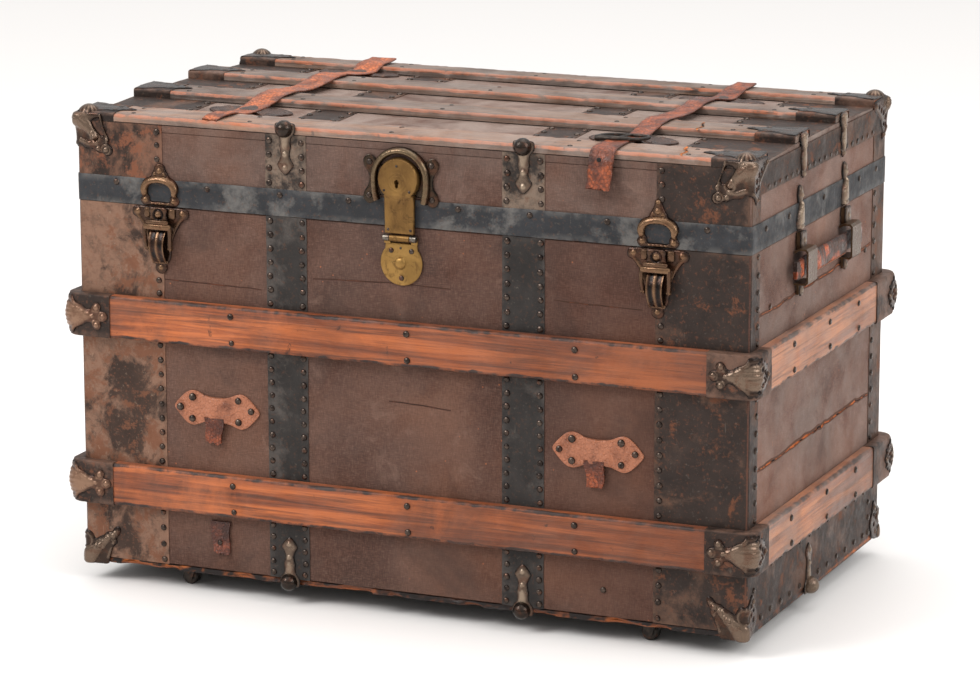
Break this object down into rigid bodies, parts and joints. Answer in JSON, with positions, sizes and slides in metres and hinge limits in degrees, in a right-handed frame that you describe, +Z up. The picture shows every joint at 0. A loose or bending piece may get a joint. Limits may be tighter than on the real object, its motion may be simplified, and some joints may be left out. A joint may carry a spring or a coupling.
{
  "type": "steamer trunk",
  "caption": "Flat-topped slatted travelling trunk: canvas-covered board case with hinged lid, iron corner work, brass hasp lock, spring clasps, end handles and rollers.",
  "frame": {"origin": "on the floor under the middle of the trunk", "axes": "+X along the trunk's length, -Y out of the front with the lock, +Z up"},
  "size_m": [0.9, 0.531, 0.594],
  "materials": {
    "canvas_board": "boards covered with painted brown canvas, worn",
    "bare_board": "rough softwood with splintered edges",
    "slat_wood": "old varnished hardwood, worn and stained",
    "sheet_iron": "blackened sheet iron with rust",
    "cast_iron": "brown cast iron",
    "brass": "aged brass",
    "leather": "dry cracked leather"
  },
  "bodies": {
    "body": {"bottom_board": "bare_board", "front_panel": "canvas_board", "back_panel": "canvas_board", "left_panel": "canvas_board", "right_panel": "canvas_board", "slat_front_lower": "slat_wood", "slat_front_upper": "slat_wood", "slat_back_lower": "slat_wood", "slat_back_upper": "slat_wood", "slat_left_lower": "slat_wood", "slat_left_upper": "slat_wood", "slat_right_lower": "slat_wood", "slat_right_upper": "slat_wood", "slat_clamp_front_left_lower": "sheet_iron", "slat_clamp_front_left_upper": "sheet_iron", "slat_clamp_front_right_lower": "sheet_iron", "slat_clamp_front_right_upper": "sheet_iron", "slat_clamp_back_left_lower": "sheet_iron", "slat_clamp_back_left_upper": "sheet_iron", "slat_clamp_back_right_lower": "sheet_iron", "slat_clamp_back_right_upper": "sheet_iron", "roller_bracket_front_left": "cast_iron", "roller_bracket_front_right": "cast_iron", "roller_bracket_back_left": "cast_iron", "roller_bracket_back_right": "cast_iron", "clasp_base_left": "cast_iron", "clasp_base_right": "cast_iron", "lock_catch_plate": "brass", "handle_bracket_left_front": "cast_iron", "handle_bracket_left_back": "cast_iron", "handle_bracket_right_front": "cast_iron", "handle_bracket_right_back": "cast_iron", "hinge_lower_left": "sheet_iron", "hinge_lower_right": "sheet_iron"},
    "lid": {"lid_top": "canvas_board", "lid_front": "canvas_board", "lid_back": "canvas_board", "lid_left": "canvas_board", "lid_right": "canvas_board", "lid_band": "sheet_iron", "lid_slat_1": "slat_wood", "lid_slat_2": "slat_wood", "lid_slat_3": "slat_wood", "lid_slat_4": "slat_wood", "lock_case": "brass", "clasp_keeper_left": "cast_iron", "clasp_keeper_right": "cast_iron", "hinge_upper_left": "sheet_iron", "hinge_upper_right": "sheet_iron", "lid_strap_left": "leather", "lid_strap_right": "leather"},
    "lock_hasp": {"lock_hasp": "brass"},
    "clasp_lever_left": {"clasp_lever_left": "cast_iron"},
    "handle_left": {"handle_left": "leather"},
    "clasp_lever_right": {"clasp_lever_right": "cast_iron"},
    "handle_right": {"handle_right": "leather"},
    "roller_front_left": {"roller_front_left": "cast_iron"},
    "roller_front_right": {"roller_front_right": "cast_iron"},
    "roller_back_left": {"roller_back_left": "cast_iron"},
    "roller_back_right": {"roller_back_right": "cast_iron"}
  },
  "joints": [
    {"name": "lid_hinge", "type": "hinge", "parent": "body", "child": "lid", "pos_m": [0, 0.2513, 0.476], "axis": [-1, 0, 0], "range_deg": [0, 105]},
    {"name": "lock_hasp_hinge", "type": "hinge", "parent": "body", "child": "lock_hasp", "pos_m": [-0.002, -0.2518, 0.463], "axis": [1, 0, 0], "range_deg": [0, 150]},
    {"name": "clasp_lever_left_hinge", "type": "hinge", "parent": "body", "child": "clasp_lever_left", "pos_m": [-0.319, -0.2533, 0.427], "axis": [1, 0, 0], "range_deg": [0, 120]},
    {"name": "clasp_lever_right_hinge", "type": "hinge", "parent": "body", "child": "clasp_lever_right", "pos_m": [0.319, -0.2533, 0.427], "axis": [1, 0, 0], "range_deg": [0, 120]},
    {"name": "handle_left_slide", "type": "slide", "parent": "body", "child": "handle_left", "axis": [0, 1, 0], "range_m": [-0.008, 0.008]},
    {"name": "handle_right_slide", "type": "slide", "parent": "body", "child": "handle_right", "axis": [0, 1, 0], "range_m": [-0.008, 0.008]},
    {"name": "roller_front_left_spin", "type": "hinge", "parent": "body", "child": "roller_front_left", "pos_m": [-0.302, -0.2135, 0.00991], "axis": [0, 1, 0], "continuous": true},
    {"name": "roller_front_right_spin", "type": "hinge", "parent": "body", "child": "roller_front_right", "pos_m": [0.302, -0.2135, 0.00991], "axis": [0, 1, 0], "continuous": true},
    {"name": "roller_back_left_spin", "type": "hinge", "parent": "body", "child": "roller_back_left", "pos_m": [-0.302, 0.2135, 0.00991], "axis": [0, 1, 0], "continuous": true},
    {"name": "roller_back_right_spin", "type": "hinge", "parent": "body", "child": "roller_back_right", "pos_m": [0.302, 0.2135, 0.00991], "axis": [0, 1, 0], "continuous": true}
  ]
}
